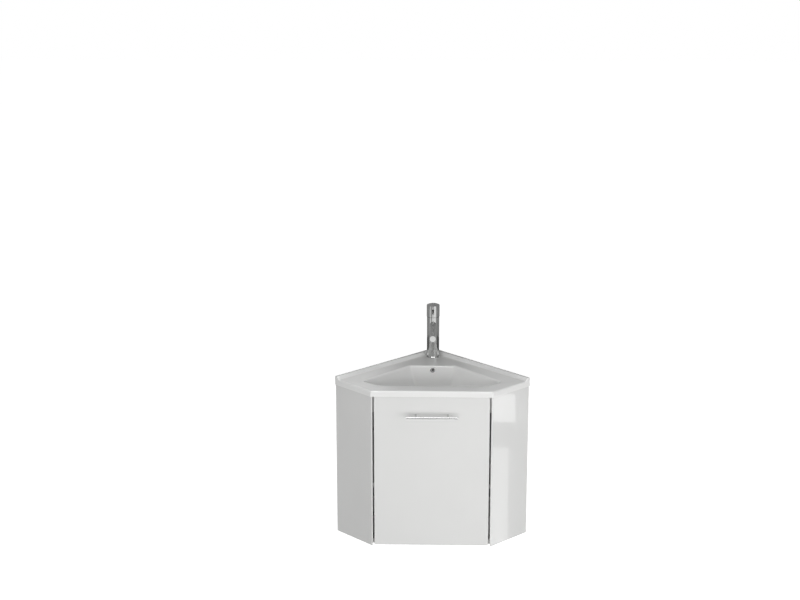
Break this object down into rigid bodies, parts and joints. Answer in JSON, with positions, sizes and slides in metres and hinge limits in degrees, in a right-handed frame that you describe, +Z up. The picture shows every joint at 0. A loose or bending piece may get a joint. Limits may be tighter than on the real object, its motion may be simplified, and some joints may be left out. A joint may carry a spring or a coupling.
{
  "type": "corner vanity unit",
  "caption": "Wall-hung corner vanity: five-sided white cabinet with one hinged door, moulded corner washbasin, single-lever mixer tap and bottle trap.",
  "frame": {"origin": "On the corner line of the two walls, level with the underside of the cabinet (mount wall_corner).", "axes": "+X to the right, -Y out of the corner through the door, +Z up; the walls stand at 45 degrees to X."},
  "size_m": [0.6414, 0.4738, 0.7299],
  "materials": {
    "white_ceramic": "smooth gloss",
    "white_gloss_board": "high-gloss white faced board",
    "white_board": "white melamine-faced board",
    "chrome": "polished chrome",
    "steel": "nickel-plated steel",
    "brass": "machined",
    "black_rubber": "matte",
    "white_plastic": "satin moulded",
    "clear_buffer": "soft translucent"
  },
  "bodies": {
    "cabinet": {"washbasin": "white_ceramic", "overflow_ring": "chrome", "side_panel_left": "white_gloss_board", "side_panel_right": "white_gloss_board", "bottom_panel": "white_board", "upper_rail_left": "white_board", "upper_rail_right": "white_board", "lower_rail_left": "white_board", "lower_rail_right": "white_board", "front_stretcher": "white_board", "shelf": "white_gloss_board", "shelf_pins": "steel", "cam_connectors": "steel", "corner_brackets": "steel", "stretcher_brackets": "steel", "bracket_screws": "steel", "door_buffers": "clear_buffer", "hinge_arm_upper": "steel", "hinge_arm_lower": "steel", "hinge_plate_upper": "steel", "hinge_plate_lower": "steel", "hinge_screws": "steel", "tap_base_ring": "chrome", "tap_body": "chrome", "aerator": "white_plastic", "cartridge": "white_plastic", "cartridge_ring": "brass", "tap_stud": "steel", "tap_seal": "black_rubber", "tap_clamp": "steel", "tap_nut": "brass", "waste_body": "chrome", "waste_seal": "black_rubber", "waste_washer": "black_rubber", "waste_nut": "white_plastic", "plug_guide": "white_plastic", "trap_inlet_nut": "white_plastic", "trap_inlet_tube": "white_plastic", "trap_neck_nut": "white_plastic", "trap_body": "white_plastic", "trap_cup": "white_plastic", "trap_outlet_nut": "white_plastic", "outlet_pipe": "white_plastic"},
    "door": {"door_panel": "white_gloss_board", "handle_bar": "chrome", "handle_posts": "chrome", "handle_screws": "steel", "hinge_cup_upper": "steel", "hinge_cup_lower": "steel", "cup_screws": "steel", "hinge_pins": "steel"},
    "mixer_cap": {"mixer_cap": "chrome", "cartridge_stem": "brass", "lever_pivot_pin": "steel"},
    "mixer_lever": {"lever_hub": "chrome", "lever_pin": "chrome"},
    "waste_plug": {"waste_plug": "chrome", "plug_seal": "black_rubber"}
  },
  "joints": [
    {"name": "door_hinge", "type": "hinge", "parent": "cabinet", "child": "door", "pos_m": [-0.17768, -0.43182, 0.25], "axis": [0, 0, -1], "range_deg": [0, 100]},
    {"name": "cap_turn", "type": "hinge", "parent": "cabinet", "child": "mixer_cap", "pos_m": [0, -0.068, 0.6816], "axis": [0, 0, 1], "range_deg": [-45, 45]},
    {"name": "lever_lift", "type": "hinge", "parent": "mixer_cap", "child": "mixer_lever", "pos_m": [0, -0.068, 0.6986], "axis": [-1, 0, 0], "range_deg": [0, 22]},
    {"name": "plug_lift", "type": "slide", "parent": "cabinet", "child": "waste_plug", "axis": [0, 0, 1], "range_m": [0, 0.008]}
  ]
}
